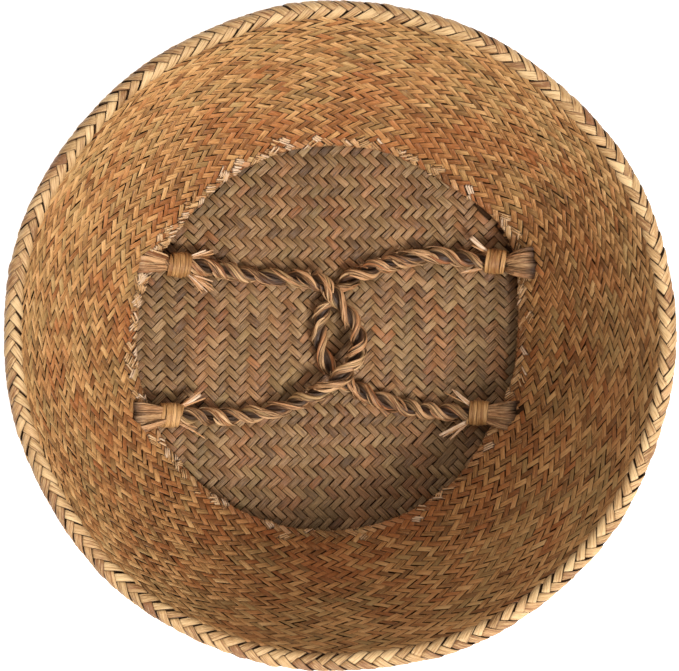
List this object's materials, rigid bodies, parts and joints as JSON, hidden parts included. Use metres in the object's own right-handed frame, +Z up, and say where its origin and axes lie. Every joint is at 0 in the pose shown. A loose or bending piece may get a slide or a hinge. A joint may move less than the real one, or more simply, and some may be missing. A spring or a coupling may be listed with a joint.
{
  "type": "folded belly basket",
  "caption": "Round woven seagrass belly basket, folded: the upper half is pushed down inside, its open rim lies above the woven base, and two twisted rope handles cross there.",
  "frame": {"origin": "centre of the base's underside, on the ground", "axes": "+Z up through the opening; the handles' ends are on the -X and +X sides; Y runs along the handles' hinge lines"},
  "size_m": [0.32, 0.32, 0.138],
  "materials": {
    "base_weave": "matt, olive-brown dried seagrass in a herringbone twill",
    "wall_weave": "satin, golden to red-brown dried seagrass in a herringbone twill",
    "fold_straw": "satin, pale straw seagrass with larger crossings",
    "rim_straw": "satin, turned-over strand ends",
    "rope_grass": "matt, twisted grass rope with dark gaps",
    "raffia": "satin, flat golden raffia strip",
    "cut_ends": "matt, frayed cut grass ends"
  },
  "bodies": {
    "root": {"base_panel": "base_weave", "base_turn": "base_weave", "lower_wall": "wall_weave", "belly_fold": "fold_straw", "upper_wall": "wall_weave"},
    "rim": {"rim_band": "wall_weave", "rim_border": "rim_straw"},
    "left_handle": {"left_handle_rope": "rope_grass", "upper_left_loop": "rope_grass", "upper_left_lashing": "raffia", "upper_left_tails": "cut_ends", "lower_left_loop": "rope_grass", "lower_left_lashing": "raffia", "lower_left_tails": "cut_ends"},
    "right_handle": {"right_handle_rope": "rope_grass", "upper_right_loop": "rope_grass", "upper_right_lashing": "raffia", "upper_right_tails": "cut_ends", "lower_right_loop": "rope_grass", "lower_right_lashing": "raffia", "lower_right_tails": "cut_ends"}
  },
  "joints": [
    {"name": "rim_lift", "type": "slide", "parent": "root", "child": "rim", "axis": [0, 0, 1], "range_m": [0, 0.2384], "deforming": ["upper_wall"]},
    {"name": "left_handle_swing", "type": "hinge", "parent": "rim", "child": "left_handle", "pos_m": [-0.09945, 0, 0.01736], "axis": [0, -1, 0], "range_deg": [0, 80]},
    {"name": "right_handle_swing", "type": "hinge", "parent": "rim", "child": "right_handle", "pos_m": [0.09945, 0, 0.01736], "axis": [0, 1, 0], "range_deg": [0, 70]}
  ],
  "couplings": [
    {"joint": "right_handle_swing", "follows": "left_handle_swing", "ratio": 0.85}
  ]
}
